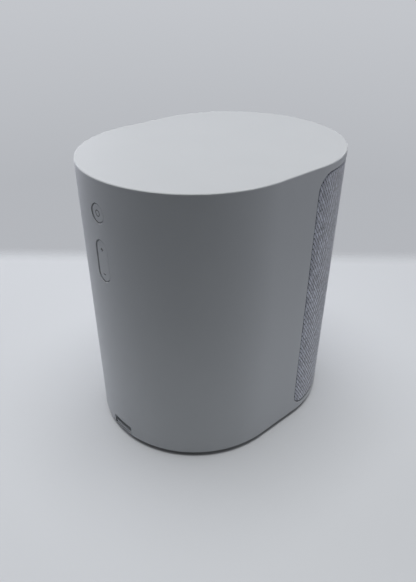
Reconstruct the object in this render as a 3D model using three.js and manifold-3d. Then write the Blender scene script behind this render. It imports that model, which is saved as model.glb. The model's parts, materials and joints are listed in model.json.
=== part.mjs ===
// A compact smart speaker: a plastic sleeve with straight sides and half-round ends, a fabric
// cover round the front end, and the drivers, boards, power supply and buttons inside it.
// Millimetres. X is the width, Y the depth (front at -Y, rear at +Y), Z is up from the surface
// that it stands on, and the origin is under the middle of the body.

import * as THREE from 'three';
import { mergeVertices } from 'three/addons/utils/BufferGeometryUtils.js';
import Module from 'manifold-3d';

const wasm = await Module();
wasm.setup();

// ---------------------------------------------------------------- driving dimensions

const WIDTH = 112;
const DEPTH = 140;
const HEIGHT = 151;
const END_RADIUS = WIDTH / 2;
const END_OFFSET = DEPTH / 2 - END_RADIUS;
const REAR = DEPTH / 2;

const GAP = 0.3; // between pieces that meet
const WALL = 3; // sleeve
const EDGE_RADIUS = 1.2; // round on the sleeve's top edge
const SLEEVE_BOTTOM = 3.2;

const FOOT_HEIGHT = 2.9;
const FOOT_INSET = 4;
const FOOT_WIDTH = 6.2;

const WINDOW_REAR = -13.2; // the cover's window in the sleeve
const WINDOW_BOTTOM = 6;
const WINDOW_TOP = 147.1;
const WINDOW_CORNER = 9;
const COVER_GAP = 0.4;
const FABRIC = 1;
const COVER_DEPTH = 3.2;
const PEG = { x: 36, low: 22, high: 134, radius: 2 };

const BUTTON = { z: 134.8, radius: 4.3 };
const ROCKER = { z: 111.1, width: 8.5, height: 20.9, axle: 1 };
const BUTTON_GAP = 0.35;
const SWITCH_OFFSET = 6.45; // from the rocker's axle to each of its switches
const AXLE_Y = 63.6;
const BRACKET_PEG = { radius: 1.5, hole: 1.9, low: 92.5, high: 144.5 };

const NOTCH = { width: 15.8, top: 9, corner: 1.2 };
const TONGUE = { inset: 0.8, top: 4.8 };

const BOX_INSET = 3.6; // the sealed speaker box inside the sleeve
const BOX_WALL = 2.5;
const BOX_BOTTOM = 8;
const BOX_TOP = 146;
const BAFFLE_FRONT = -40;
const BAFFLE_BACK = -37;
const BOX_SPLIT = -8;
const BOX_REAR = 22;
const BOX_SCREW = { x: 39, low: 30, high: 126 };
const LEAD_HOLE = { x: -24, z: 58.8, radius: 2.4 };

const WOOFER_Z = 52;
const WOOFER_HOLE = 34.6;
const TWEETER_Z = 114;
const TWEETER_HOLE = 14.2;
const WOOFER_SCREW = 27.9; // from the woofer's axis, across and up
const TWEETER_SCREW = 16.5;

const BASE_BOTTOM = 3.3;
const BASE_TOP = 6.3;
const BASE_INSET = WALL + GAP;
const BAY = { half: 16, front: 36, rear: 57, top: 22, wall: 2 };
const COLUMN = { x: 34.7, y: 49.4, radius: 4, top: 30, pilot: 1.1 };
const FRONT_BOSS = { x: 44.2, y: -33.2, radius: 4, top: 20 };
const POWER_BOARD_Z = 34;
const MAIN_BOARD_Y = 26;
const BOARD = 1.6;
const STANDOFF = { x: 33, low: 69, high: 135, radius: 3, stud: 1.4 };

const PILOT = 1.5; // radius of a hole that a screw bites into
const CLEARANCE = 1.6; // radius of a hole that a screw passes through
const THROUGH_REAR = [REAR - 10, REAR + 5]; // spans along Y that cut right through a wall
const THROUGH_BAFFLE = [-45, -30];

const ARC_STEPS = 14; // half the number of facets on a half-round end
const ROUND = 20;

// ---------------------------------------------------------------- materials

function material(color, roughness, metalness = 0) {
  return new THREE.MeshStandardMaterial({ color, roughness, metalness, flatShading: true });
}

const plastic = material(0xc9ccce, 0.5);
const innerPlastic = material(0x3a3c3f, 0.6);
const fabric = material(0xa9a8ad, 0.95);
const rubber = material(0x2b2c2e, 0.85);
const steel = material(0xb4b6b8, 0.35, 1);
const screwSteel = material(0x8f9194, 0.4, 1);
const ferrite = material(0x2f3032, 0.7, 0.2);
const paper = material(0x1e1f20, 0.9);
const silk = material(0x26272a, 0.8);
const copper = material(0xb06a3c, 0.4, 1);
const spiderCloth = material(0xc08a3e, 0.9);
const board = material(0x1d5a3a, 0.5);
const aluminium = material(0xc4c6c8, 0.4, 1);
const tin = material(0xbfc1c2, 0.3, 1);
const winding = material(0xd9b13b, 0.6);
const canSleeve = material(0x27304a, 0.4);
const label = material(0xdcdddd, 0.5);
const wire = material(0x232425, 0.6);

// ---------------------------------------------------------------- solids

const X = new THREE.Vector3(1, 0, 0);
const Y = new THREE.Vector3(0, 1, 0);
const Z = new THREE.Vector3(0, 0, 1);
const YZ_ALONG_X = new THREE.Matrix4().makeBasis(Y, Z, X);
const XZ_ALONG_Y = new THREE.Matrix4().makeBasis(X, Z, Y.clone().negate());

// A geometry with shared vertices, no collapsed triangles and its faces pointing out.
function closed(geometry) {
  const bare = geometry.clone();
  bare.deleteAttribute('normal');
  bare.deleteAttribute('uv');
  const merged = mergeVertices(bare, 1e-4);
  const corners = merged.index.array;
  const kept = [];
  for (let i = 0; i < corners.length; i += 3) {
    const [a, b, c] = [corners[i], corners[i + 1], corners[i + 2]];
    if (a !== b && b !== c && c !== a) kept.push(a, b, c);
  }
  if (signedVolume(merged.attributes.position, kept) < 0) kept.reverse();
  merged.setIndex(kept);
  merged.clearGroups();
  return merged;
}

function signedVolume(position, corners) {
  const [a, b, c] = [new THREE.Vector3(), new THREE.Vector3(), new THREE.Vector3()];
  let volume = 0;
  for (let i = 0; i < corners.length; i += 3) {
    a.fromBufferAttribute(position, corners[i]);
    b.fromBufferAttribute(position, corners[i + 1]);
    c.fromBufferAttribute(position, corners[i + 2]);
    volume += a.dot(b.cross(c)) / 6;
  }
  return volume;
}

function toSolid(geometry) {
  const shared = closed(geometry);
  return new wasm.Manifold(new wasm.Mesh({
    numProp: 3,
    vertProperties: new Float32Array(shared.attributes.position.array),
    triVerts: new Uint32Array(shared.index.array),
  }));
}

function toGeometry(solid) {
  const mesh = solid.getMesh();
  const geometry = new THREE.BufferGeometry();
  geometry.setAttribute('position', new THREE.BufferAttribute(new Float32Array(mesh.vertProperties), 3));
  geometry.setIndex(Array.from(mesh.triVerts));
  return geometry;
}

function join(...geometries) {
  return toGeometry(geometries.map(toSolid).reduce((sum, next) => sum.add(next)));
}

function cut(base, ...tools) {
  return toGeometry(tools.map(toSolid).reduce((left, tool) => left.subtract(tool), toSolid(base)));
}

function overlap(a, b) {
  return toGeometry(toSolid(a).intersect(toSolid(b)));
}

function box(x0, x1, y0, y1, z0, z1) {
  const geometry = new THREE.BoxGeometry(x1 - x0, y1 - y0, z1 - z0);
  return geometry.translate((x0 + x1) / 2, (y0 + y1) / 2, (z0 + z1) / 2);
}

function rodX(radius, y, z, x0, x1, sides = 16) {
  const geometry = new THREE.CylinderGeometry(radius, radius, x1 - x0, sides).rotateZ(Math.PI / 2);
  return geometry.translate((x0 + x1) / 2, y, z);
}

function rodY(radius, x, z, y0, y1, sides = 16) {
  const geometry = new THREE.CylinderGeometry(radius, radius, y1 - y0, sides);
  return geometry.translate(x, (y0 + y1) / 2, z);
}

function rodZ(radius, x, y, z0, z1, sides = 16) {
  const geometry = new THREE.CylinderGeometry(radius, radius, z1 - z0, sides).rotateX(Math.PI / 2);
  return geometry.translate(x, y, (z0 + z1) / 2);
}

// A solid of revolution about a line along Y at height z. The profile's points are
// [radius, y]; it starts and ends on the axis, or is a ring that this closes.
function turned(profile, z, sides = ROUND) {
  const points = profile.map(([radius, y]) => new THREE.Vector2(radius, y));
  if (profile[0][0] > 0) points.push(points[0].clone());
  return new THREE.LatheGeometry(points, sides).translate(0, 0, z);
}

function upright(shape, z0, z1, steps = ARC_STEPS) {
  const options = { depth: z1 - z0, bevelEnabled: false, curveSegments: steps };
  return new THREE.ExtrudeGeometry(shape, options).translate(0, 0, z0);
}

function acrossX(shape, x0, x1, steps = 8) {
  const options = { depth: x1 - x0, bevelEnabled: false, curveSegments: steps };
  return new THREE.ExtrudeGeometry(shape, options).applyMatrix4(YZ_ALONG_X).translate(x0, 0, 0);
}

function acrossY(shape, y0, y1, steps = 8) {
  const options = { depth: y1 - y0, bevelEnabled: false, curveSegments: steps };
  return new THREE.ExtrudeGeometry(shape, options).applyMatrix4(XZ_ALONG_Y).translate(0, y1, 0);
}

// ---------------------------------------------------------------- outlines

// The body's plan: straight sides and half-round ends, drawn in by inset.
function plan(inset) {
  const shape = new THREE.Shape();
  shape.absarc(0, END_OFFSET, END_RADIUS - inset, 0, Math.PI);
  shape.absarc(0, -END_OFFSET, END_RADIUS - inset, Math.PI, 2 * Math.PI);
  shape.closePath();
  return shape;
}

function bodyPrism(inset, z0, z1) {
  return upright(plan(inset), z0, z1);
}

// The cover's outline from the side, open past the front end, drawn in by inset.
function windowSide(inset) {
  const front = -DEPTH;
  const rear = WINDOW_REAR - inset;
  const low = WINDOW_BOTTOM + inset;
  const high = WINDOW_TOP - inset;
  const corner = WINDOW_CORNER - inset;
  const shape = new THREE.Shape();
  shape.moveTo(front, low);
  shape.lineTo(rear - corner, low);
  shape.absarc(rear - corner, low + corner, corner, -Math.PI / 2, 0);
  shape.absarc(rear - corner, high - corner, corner, 0, Math.PI / 2);
  shape.lineTo(front, high);
  shape.closePath();
  return shape;
}

function windowPrism(inset) {
  return acrossX(windowSide(inset), -WIDTH, WIDTH, 4);
}

// An upright pill, as wide as twice its end radius.
function pill(width, height, z) {
  const radius = width / 2;
  const reach = height / 2 - radius;
  const shape = new THREE.Shape();
  shape.absarc(0, z + reach, radius, 0, Math.PI);
  shape.absarc(0, z - reach, radius, Math.PI, 2 * Math.PI);
  shape.closePath();
  return shape;
}

function roundedRectangle(x0, x1, y0, y1, radius) {
  const shape = new THREE.Shape();
  shape.absarc(x1 - radius, y1 - radius, radius, 0, Math.PI / 2);
  shape.absarc(x0 + radius, y1 - radius, radius, Math.PI / 2, Math.PI);
  shape.absarc(x0 + radius, y0 + radius, radius, Math.PI, 1.5 * Math.PI);
  shape.absarc(x1 - radius, y0 + radius, radius, 1.5 * Math.PI, 2 * Math.PI);
  shape.closePath();
  return shape;
}

const bothSides = (make) => [make(-1), make(1)];
const fourCorners = ({ x, low, high }, make) => [
  make(-x, low), make(x, low), make(-x, high), make(x, high),
];

// ---------------------------------------------------------------- scene

const speaker = new THREE.Group();

function add(name, geometry, look) {
  const mesh = new THREE.Mesh(closed(geometry), look);
  mesh.name = name;
  speaker.add(mesh);
}

// ---------------------------------------------------------------- sleeve and cover

function housingSleeve() {
  const rim = new THREE.ExtrudeGeometry(plan(0), {
    depth: HEIGHT - 2 * EDGE_RADIUS,
    bevelThickness: EDGE_RADIUS,
    bevelSize: EDGE_RADIUS,
    bevelOffset: -EDGE_RADIUS,
    bevelSegments: 3,
    curveSegments: ARC_STEPS,
  }).translate(0, 0, EDGE_RADIUS);
  const below = box(-WIDTH, WIDTH, -DEPTH, DEPTH, -1, SLEEVE_BOTTOM);
  const inside = bodyPrism(WALL, -1, HEIGHT - WALL);
  const shell = cut(rim, below, inside, windowPrism(0));
  const notchShape = roundedRectangle(-NOTCH.width / 2, NOTCH.width / 2, -5, NOTCH.top, NOTCH.corner);
  const columns = bothSides((side) => rodZ(COLUMN.radius, side * COLUMN.x, COLUMN.y,
    BASE_TOP + GAP, COLUMN.top));
  const pilots = bothSides((side) => rodZ(COLUMN.pilot, side * COLUMN.x, COLUMN.y,
    0, COLUMN.top - 6, 12));
  const pegs = [BRACKET_PEG.low, BRACKET_PEG.high].map((z) => rodY(BRACKET_PEG.radius, 0, z,
    61.8, REAR - WALL + 0.5, 12));
  return cut(
    join(shell, ...columns, ...pegs),
    ...pilots,
    rodY(BUTTON.radius + BUTTON_GAP, 0, BUTTON.z, ...THROUGH_REAR, 32),
    acrossY(pill(ROCKER.width + 2 * BUTTON_GAP, ROCKER.height + 2 * BUTTON_GAP, ROCKER.z),
      ...THROUGH_REAR),
    acrossY(notchShape, ...THROUGH_REAR, 4),
  );
}

// A skin that follows the front end and turns in round the cover frame's edge.
function coverFabric() {
  const block = overlap(bodyPrism(0, 0, HEIGHT), windowPrism(COVER_GAP));
  const inside = bodyPrism(COVER_DEPTH, 0, HEIGHT);
  const pocket = overlap(bodyPrism(FABRIC, 0, HEIGHT), windowPrism(COVER_GAP + FABRIC));
  return cut(block, inside, pocket);
}

function coverFrame() {
  const inset = FABRIC + GAP;
  const curved = cut(
    overlap(bodyPrism(inset, 0, HEIGHT), windowPrism(COVER_GAP + inset)),
    bodyPrism(COVER_DEPTH, 0, HEIGHT),
  );
  const columns = 12;
  const rows = 3;
  const pitch = 44;
  const spread = THREE.MathUtils.degToRad(150);
  const slotSize = [12, 8, 38];
  const slots = [];
  for (let column = 0; column < columns; column += 1) {
    const angle = Math.PI + (Math.PI - spread) / 2 + (spread * column) / (columns - 1);
    for (let row = 0; row < rows; row += 1) {
      const slot = new THREE.BoxGeometry(...slotSize).translate(END_RADIUS, 0, 0).rotateZ(angle);
      const z = (WINDOW_BOTTOM + WINDOW_TOP) / 2 + (row - (rows - 1) / 2) * pitch;
      slots.push(slot.translate(0, -END_OFFSET, z));
    }
  }
  const pads = fourCorners(PEG, (x, z) => overlap(
    rodY(5, x, z, -62, -44, 16),
    cut(bodyPrism(inset, 0, HEIGHT), bodyPrism(COVER_DEPTH, -1, HEIGHT + 1)),
  ));
  const pegs = fourCorners(PEG, (x, z) => rodY(PEG.radius, x, z, -53.6, BAFFLE_BACK - 1.5, 12));
  return join(cut(curved, ...slots), ...pads, ...pegs);
}

add('housing_sleeve', housingSleeve(), plastic);
add('cover_frame', coverFrame(), innerPlastic);
add('cover_fabric', coverFabric(), fabric);

// ---------------------------------------------------------------- speaker box

function boxHalf(front, rear, insideFront, insideRear) {
  const slice = (y0, y1) => box(-WIDTH, WIDTH, y0, y1, 0, HEIGHT);
  return cut(
    overlap(bodyPrism(BOX_INSET, BOX_BOTTOM, BOX_TOP), slice(front, rear)),
    overlap(bodyPrism(BOX_INSET + BOX_WALL, BOX_BOTTOM + BOX_WALL, BOX_TOP - BOX_WALL),
      slice(insideFront, insideRear)),
  );
}

function frontBaffle() {
  const tub = boxHalf(BAFFLE_FRONT, BOX_SPLIT, BAFFLE_BACK, 0);
  const bosses = fourCorners(BOX_SCREW, (x, z) => rodY(3.5, x, z, BAFFLE_BACK - 1, BOX_SPLIT));
  const feet = bothSides((side) => rodZ(FRONT_BOSS.radius, side * FRONT_BOSS.x, FRONT_BOSS.y,
    BOX_BOTTOM + 1, FRONT_BOSS.top));
  return cut(
    join(tub, ...bosses, ...feet),
    rodY(WOOFER_HOLE, 0, WOOFER_Z, ...THROUGH_BAFFLE, ROUND),
    rodY(TWEETER_HOLE, 0, TWEETER_Z, ...THROUGH_BAFFLE, ROUND),
    ...fourCorners(PEG, (x, z) => rodY(PEG.radius + 0.4, x, z, ...THROUGH_BAFFLE, 12)),
    ...fourCorners(BOX_SCREW, (x, z) => rodY(PILOT, x, z, -20, 0, 12)),
    ...bothSides((side) => rodZ(PILOT, side * FRONT_BOSS.x, FRONT_BOSS.y, 0, 17, 12)),
    ...wooferScrewPlaces().map(([x, z]) => rodY(PILOT, x, z, ...THROUGH_BAFFLE, 12)),
    ...bothSides((side) => rodY(PILOT, side * TWEETER_SCREW, TWEETER_Z, ...THROUGH_BAFFLE, 12)),
  );
}

function rearChamber() {
  const tub = boxHalf(BOX_SPLIT + GAP, BOX_REAR, -20, BOX_REAR - BOX_WALL);
  const sleeves = fourCorners(BOX_SCREW, (x, z) => rodY(3.5, x, z, BOX_SPLIT + GAP, BOX_REAR - 1));
  const standoffs = fourCorners(STANDOFF, (x, z) => rodY(STANDOFF.radius, x, z,
    BOX_REAR - 1, MAIN_BOARD_Y - GAP));
  const studs = fourCorners(STANDOFF, (x, z) => rodY(STANDOFF.stud, x, z,
    BOX_REAR - 1, MAIN_BOARD_Y + 2.8, 12));
  return cut(
    join(tub, ...sleeves, ...standoffs, ...studs),
    ...fourCorners(BOX_SCREW, (x, z) => rodY(CLEARANCE, x, z, -20, 30, 12)),
    rodY(LEAD_HOLE.radius, LEAD_HOLE.x, LEAD_HOLE.z, 10, 30, 12),
  );
}

function wooferScrewPlaces() {
  const places = [];
  for (const x of [-WOOFER_SCREW, WOOFER_SCREW]) {
    for (const z of [-WOOFER_SCREW, WOOFER_SCREW]) places.push([x, WOOFER_Z + z]);
  }
  return places;
}

// A pan-head screw along Y: shank from tip to seat, head beyond the seat.
function screwY(x, z, tip, seat, head) {
  const shank = 1.2;
  const outward = Math.sign(seat - tip);
  const crown = seat + outward * 1.6;
  const ordered = (a, b) => [Math.min(a, b), Math.max(a, b)];
  return join(
    rodY(shank, x, z, ...ordered(tip, seat + outward * 0.4), 8),
    rodY(head, x, z, ...ordered(seat, crown), 12),
  );
}

add('front_baffle', frontBaffle(), innerPlastic);
add('rear_chamber', rearChamber(), innerPlastic);
fourCorners(BOX_SCREW, (x, z) => [x, z]).forEach(([x, z], i) => {
  add(`box_screw_${i + 1}`, screwY(x, z, -17, BOX_REAR + GAP, 2.6), screwSteel);
});

// ---------------------------------------------------------------- woofer

function wooferBasket() {
  const lobes = wooferScrewPlaces().map(([x, z]) => rodY(4.5, x, z, -42.6, BAFFLE_FRONT - GAP));
  const bowl = turned([
    [38.6, -42.6], [38.6, -40.3], [34.2, -40.3], [34.2, -33], [22, -16.5], [22, -14],
    [11, -14], [11, -16], [20.4, -16], [32.4, -33.4], [32.4, -42.6],
  ], WOOFER_Z);
  const windows = [];
  for (let i = 0; i < 6; i += 1) {
    const opening = box(-6.5, 6.5, -31, -19, 14, 42);
    windows.push(opening.rotateY((i * Math.PI) / 3).translate(0, 0, WOOFER_Z));
  }
  const holes = wooferScrewPlaces().map(([x, z]) => rodY(CLEARANCE, x, z, ...THROUGH_BAFFLE, 12));
  return cut(join(bowl, ...lobes), ...windows, ...holes);
}

add('woofer_basket', wooferBasket(), steel);
add('woofer_top_plate', turned([[10.1, -13.7], [22, -13.7], [22, -10.7], [10.1, -10.7]], WOOFER_Z), steel);
add('woofer_magnet', turned([[12, -10.4], [27, -10.4], [27, 1.6], [12, 1.6]], WOOFER_Z), ferrite);
add('woofer_yoke', turned([
  [0, -13.7], [8.9, -13.7], [8.9, 1.9], [22, 1.9], [22, 4.9], [0, 4.9],
], WOOFER_Z), steel);
add('woofer_gasket', turned([[33, -44.4], [36.4, -44.4], [36.4, -42.9], [33, -42.9]], WOOFER_Z), rubber);
add('woofer_surround', turned([
  [28.3, -39.6], [29.4, -42.2], [30.7, -42.9], [31.9, -42.2], [32.1, -39.8],
  [31.5, -39.8], [31.3, -41.8], [30.7, -42.2], [29.9, -41.7], [29, -39.2],
], WOOFER_Z), rubber);
add('woofer_spider', turned([
  [10.6, -20.8], [12.4, -19.8], [14.2, -20.8], [16, -19.8], [18, -20.3],
  [18, -19.7], [16, -19.1], [14.2, -20.1], [12.4, -19.1], [10.6, -20.2],
], WOOFER_Z), spiderCloth);
add('woofer_cone', turned([
  [10.2, -23.8], [27.9, -38.9], [27.9, -39.7], [27.2, -39.5], [10.2, -24.9],
], WOOFER_Z), paper);
add('woofer_dust_cap', turned([
  [0, -31.6], [4, -31.1], [7.6, -29.7], [10.2, -27.5], [11.4, -26.4],
  [11, -26.1], [9.8, -27], [7.2, -29], [3.8, -30.4], [0, -30.8],
], WOOFER_Z), paper);
add('woofer_voice_coil', turned([[9.25, -25.5], [9.8, -25.5], [9.8, -9.5], [9.25, -9.5]], WOOFER_Z), copper);
wooferScrewPlaces().forEach(([x, z], i) => {
  add(`woofer_screw_${i + 1}`, screwY(x, z, -34, -42.9, 2.5), screwSteel);
});

// ---------------------------------------------------------------- tweeter

function tweeterFaceplate() {
  const plate = turned([
    [20.5, -42.6], [20.5, -40.3], [13.8, -40.3], [13.8, -36.6], [11.6, -36.6], [12.4, -41.4],
    [16, -43], [19.5, -43],
  ], TWEETER_Z);
  const holes = bothSides((side) => rodY(CLEARANCE, side * TWEETER_SCREW, TWEETER_Z,
    ...THROUGH_BAFFLE, 12));
  return cut(plate, ...holes);
}

add('tweeter_faceplate', tweeterFaceplate(), innerPlastic);
add('tweeter_magnet', turned([
  [0, -40.6], [8.2, -40.6], [8.2, -36.3], [13.4, -36.3], [13.4, -26], [0, -26],
], TWEETER_Z), ferrite);
add('tweeter_surround', turned([
  [9.7, -41.5], [10.5, -42.3], [11.3, -41.5], [11.3, -41.1], [10.5, -41.8], [9.7, -41.1],
], TWEETER_Z), rubber);
add('tweeter_dome', turned([
  [0, -46.2], [3.6, -45.7], [6.6, -44.3], [9.1, -41.8], [9.1, -38.2], [8.7, -38.2],
  [8.7, -41.6], [6.3, -43.9], [3.4, -45.2], [0, -45.7],
], TWEETER_Z), silk);
bothSides((side) => side).forEach((side, i) => {
  add(`tweeter_screw_${i + 1}`, screwY(side * TWEETER_SCREW, TWEETER_Z, -34, -43.3, 2.4), screwSteel);
});

// ---------------------------------------------------------------- buttons

function buttonBracket() {
  const tray = cut(box(-12, 12, 57.5, 64.6, 96, 141), box(-10.4, 10.4, 59, 70, 97.6, 139.4));
  const ears = bothSides((side) => box(
    side > 0 ? 6.9 : -11, side > 0 ? 11 : -6.9, 61.3, 65.4, ROCKER.z - 2.5, ROCKER.z + 2.5,
  ));
  const tabs = [box(-4.5, 4.5, 62.4, 64.6, 140, 147.4), box(-4.5, 4.5, 62.4, 64.6, 89, 97)];
  return cut(
    join(tray, ...ears, ...tabs),
    rodX(ROCKER.axle + GAP, AXLE_Y, ROCKER.z, -15, 15),
    rodY(BRACKET_PEG.hole, 0, BRACKET_PEG.low, 60, 68, 12),
    rodY(BRACKET_PEG.hole, 0, BRACKET_PEG.high, 60, 68, 12),
  );
}

function tactSwitch(z) {
  return join(box(-3, 3, 61.2, 63.4, z - 3, z + 3), rodY(1.7, 0, z, 63, 64.2, 12));
}

// The pressed faces follow the body's rear end.
function playButton() {
  const cap = overlap(rodY(BUTTON.radius, 0, BUTTON.z, 65.5, REAR + 2, 32), bodyPrism(0, 100, 150));
  return join(cap, rodY(5.6, 0, BUTTON.z, 65.4, 66.2, 24), rodY(1.6, 0, BUTTON.z, 64.9, 66, 12));
}

function volumeRocker() {
  const face = acrossY(pill(ROCKER.width, ROCKER.height, ROCKER.z), 67.4, REAR + 2);
  const cap = overlap(face, bodyPrism(0, 90, 130));
  const web = box(-3, 3, AXLE_Y - 0.4, 68, ROCKER.z - 1, ROCKER.z + 1);
  const axle = rodX(ROCKER.axle, AXLE_Y, ROCKER.z, -10, 10);
  const stems = [-1, 1].map((side) => rodY(1.4, 0, ROCKER.z + side * SWITCH_OFFSET, 64.9, 68, 12));
  return join(cap, web, axle, ...stems);
}

add('button_bracket', buttonBracket(), innerPlastic);
add('button_board', box(-10.1, 10.1, 59.3, 60.9, 97.9, 139.1), board);
add('play_switch', tactSwitch(BUTTON.z), tin);
add('volume_up_switch', tactSwitch(ROCKER.z + SWITCH_OFFSET), tin);
add('volume_down_switch', tactSwitch(ROCKER.z - SWITCH_OFFSET), tin);
add('play_button', playButton(), plastic);
add('volume_rocker', volumeRocker(), plastic);

// ---------------------------------------------------------------- base

const BASE_SCREWS = [
  [-COLUMN.x, COLUMN.y], [COLUMN.x, COLUMN.y],
  [-FRONT_BOSS.x, FRONT_BOSS.y], [FRONT_BOSS.x, FRONT_BOSS.y],
];
const POWER_POSTS = [[-28, 30], [28, 30], [-26, 53], [26, 53]];
const PORT = { y0: 38, y1: 47, z0: 10.3, z1: 13.7 };
const INLET = { half: 10, z0: 8, z1: 20.3, front: 23, rear: 35.7 };

// The base closes the sleeve. Its bay is open underneath and leads out through the notch.
function basePlate() {
  const outer = BAY.wall;
  const plate = bodyPrism(BASE_INSET, BASE_BOTTOM, BASE_TOP);
  const bay = box(-BAY.half - outer, BAY.half + outer, BAY.front - outer, BAY.rear + outer,
    BASE_BOTTOM, BAY.top + outer);
  const tongueHalf = NOTCH.width / 2 - 0.5;
  const tongue = overlap(box(-tongueHalf, tongueHalf, 55, REAR, BASE_BOTTOM, TONGUE.top),
    bodyPrism(TONGUE.inset, 0, 10));
  const posts = POWER_POSTS.map(([x, y]) => rodZ(3.2, x, y, BASE_BOTTOM + 1, POWER_BOARD_Z - GAP));
  const studs = POWER_POSTS.map(([x, y]) => rodZ(1.4, x, y, BASE_BOTTOM + 1, POWER_BOARD_Z + 2.8, 12));
  return cut(
    join(plate, bay, tongue, ...posts, ...studs),
    box(-BAY.half, BAY.half, BAY.front, BAY.rear, 0, BAY.top),
    box(-tongueHalf, tongueHalf, BAY.rear - 1, REAR, TONGUE.top, NOTCH.top),
    box(-INLET.half - GAP, INLET.half + GAP, BAY.front - 3, BAY.front + 1, INLET.z0 - GAP, INLET.z1 + GAP),
    box(-BAY.half - 3, -BAY.half + 1, PORT.y0 - GAP, PORT.y1 + GAP, PORT.z0 - GAP, PORT.z1 + GAP),
    ...BASE_SCREWS.map(([x, y]) => rodZ(1.7, x, y, 0, 10, 12)),
    ...BASE_SCREWS.map(([x, y]) => rodZ(2.7, x, y, 0, BASE_BOTTOM + 1.8)),
  );
}

function baseScrew([x, y]) {
  const seat = BASE_BOTTOM + 1.5;
  return join(rodZ(0.9, x, y, seat - 0.4, 16, 8), rodZ(2.3, x, y, seat - 1.4, seat, 12));
}

function footRing() {
  return cut(
    bodyPrism(FOOT_INSET, 0, FOOT_HEIGHT),
    bodyPrism(FOOT_INSET + FOOT_WIDTH, -1, HEIGHT),
    box(-NOTCH.width / 2 - GAP, NOTCH.width / 2 + GAP, 30, DEPTH, -1, HEIGHT),
  );
}

function mainsInlet() {
  const socket = new THREE.Shape();
  const middle = (INLET.z0 + INLET.z1) / 2;
  const radius = 4.2;
  const reach = 3.4;
  socket.absarc(reach, middle, radius, -Math.PI / 2, Math.PI / 2);
  socket.absarc(-reach, middle, radius, Math.PI / 2, 1.5 * Math.PI);
  socket.closePath();
  const body = box(-INLET.half, INLET.half, INLET.front, INLET.rear, INLET.z0, INLET.z1);
  const pins = bothSides((side) => rodY(1.1, side * 4.3, middle, 25, 33, 12));
  return join(cut(body, acrossY(socket, 26, 40)), ...pins);
}

function servicePort() {
  return cut(
    box(-24.5, -BAY.half - GAP, PORT.y0, PORT.y1, PORT.z0, PORT.z1),
    box(-23, -BAY.half + 1, PORT.y0 + 0.9, PORT.y1 - 0.9, PORT.z0 + 0.8, PORT.z1 - 0.8),
  );
}

add('base_plate', basePlate(), plastic);
add('foot_ring', footRing(), rubber);
add('rating_plate', upright(roundedRectangle(-22, 22, -38, -8, 2), 2.4, BASE_BOTTOM - GAP, 3), label);
BASE_SCREWS.forEach((place, i) => add(`base_screw_${i + 1}`, baseScrew(place), screwSteel));
add('mains_inlet', mainsInlet(), rubber);
add('service_port', servicePort(), tin);

// ---------------------------------------------------------------- electronics

function mainBoard() {
  return cut(
    box(-38, 38, MAIN_BOARD_Y, MAIN_BOARD_Y + BOARD, 64, 140),
    ...fourCorners(STANDOFF, (x, z) => rodY(1.8, x, z, 20, 30, 12)),
  );
}

function heatSink() {
  const front = MAIN_BOARD_Y + BOARD + GAP;
  const base = box(-34, -6, front, front + 2.2, 72, 98);
  const fins = [];
  for (let i = 0; i < 6; i += 1) {
    const x = -33.4 + i * 5.36;
    fins.push(box(x - 0.6, x + 0.6, front + 1, front + 13, 72, 98));
  }
  return join(base, ...fins);
}

function powerBoard() {
  const outline = overlap(bodyPrism(5, POWER_BOARD_Z, POWER_BOARD_Z + BOARD), box(-60, 60, 24.5, 57, 0, 60));
  return cut(outline, ...POWER_POSTS.map(([x, y]) => rodZ(1.8, x, y, 30, 40, 12)));
}

function transformer() {
  const low = POWER_BOARD_Z + BOARD + GAP;
  const core = box(-16, 12, 33, 47, low, low + 24);
  const coil = box(-11, 7, 29.5, 50.5, low + 5, low + 19);
  return join(core, coil);
}

// A tube of the given radius along points chosen by hand.
function lead(points, radius, steps) {
  const path = new THREE.CatmullRomCurve3(points.map(([x, y, z]) => new THREE.Vector3(x, y, z)));
  const section = new THREE.Shape();
  section.absarc(0, 0, radius, 0, 2 * Math.PI);
  return new THREE.ExtrudeGeometry(section, { steps, extrudePath: path, curveSegments: 3 });
}

const partsFace = MAIN_BOARD_Y + BOARD + GAP;
const powerFace = POWER_BOARD_Z + BOARD + GAP;

add('main_board', mainBoard(), board);
add('heat_sink', heatSink(), aluminium);
add('processor_shield', box(4, 30, partsFace, partsFace + 2.7, 102, 128), tin);
add('wireless_module', box(-32, -12, partsFace, partsFace + 2, 108, 130), tin);
add('board_capacitor_1', rodY(5, 12, 82, partsFace, partsFace + 14, 20), canSleeve);
add('board_capacitor_2', rodY(5, 26, 82, partsFace, partsFace + 14, 20), canSleeve);
add('antenna_board_left', box(-50, -42.5, BOX_REAR + GAP, BOX_REAR + GAP + 1, 98, 138), board);
add('antenna_board_right', box(42.5, 50, BOX_REAR + GAP, BOX_REAR + GAP + 1, 98, 138), board);
add('power_board', powerBoard(), board);
add('transformer', transformer(), winding);
add('mains_capacitor', rodZ(8.5, 27, 41.8, powerFace, powerFace + 25, 24), canSleeve);
add('mains_choke', turned([[3.5, -4], [8, -4], [8, 4], [3.5, 4]], 0, 20)
  .rotateX(Math.PI / 2).translate(-29, 41, powerFace + 4), copper);
add('speaker_lead', lead([
  [-24, 26.8, 62.2], [-24, 25.8, 60], [-24, 22, 58.6], [-24, 14, 60], [-27, 4, 64.5],
  [-29.5, -6, 68], [-27, -17, 66],
], 1.2, 14), wire);
add('power_lead', lead([[4, 29, 20.7], [6.5, 28, 27], [4, 29, 33.6]], 1.2, 6), wire);

export default speaker;
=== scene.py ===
"""The looks of a compact smart speaker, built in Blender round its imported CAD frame.

The body's plan is a stadium: straight sides and half-round ends. Most of what shows is a wall
that follows it, so shapes are drawn on the unrolled wall. A place there is (s, inset, z): s runs
along the wall from the middle of the rear, towards -X, inset is the depth under the outer face,
and z is the height. Everything is in metres.
"""

import json
import math

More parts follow.
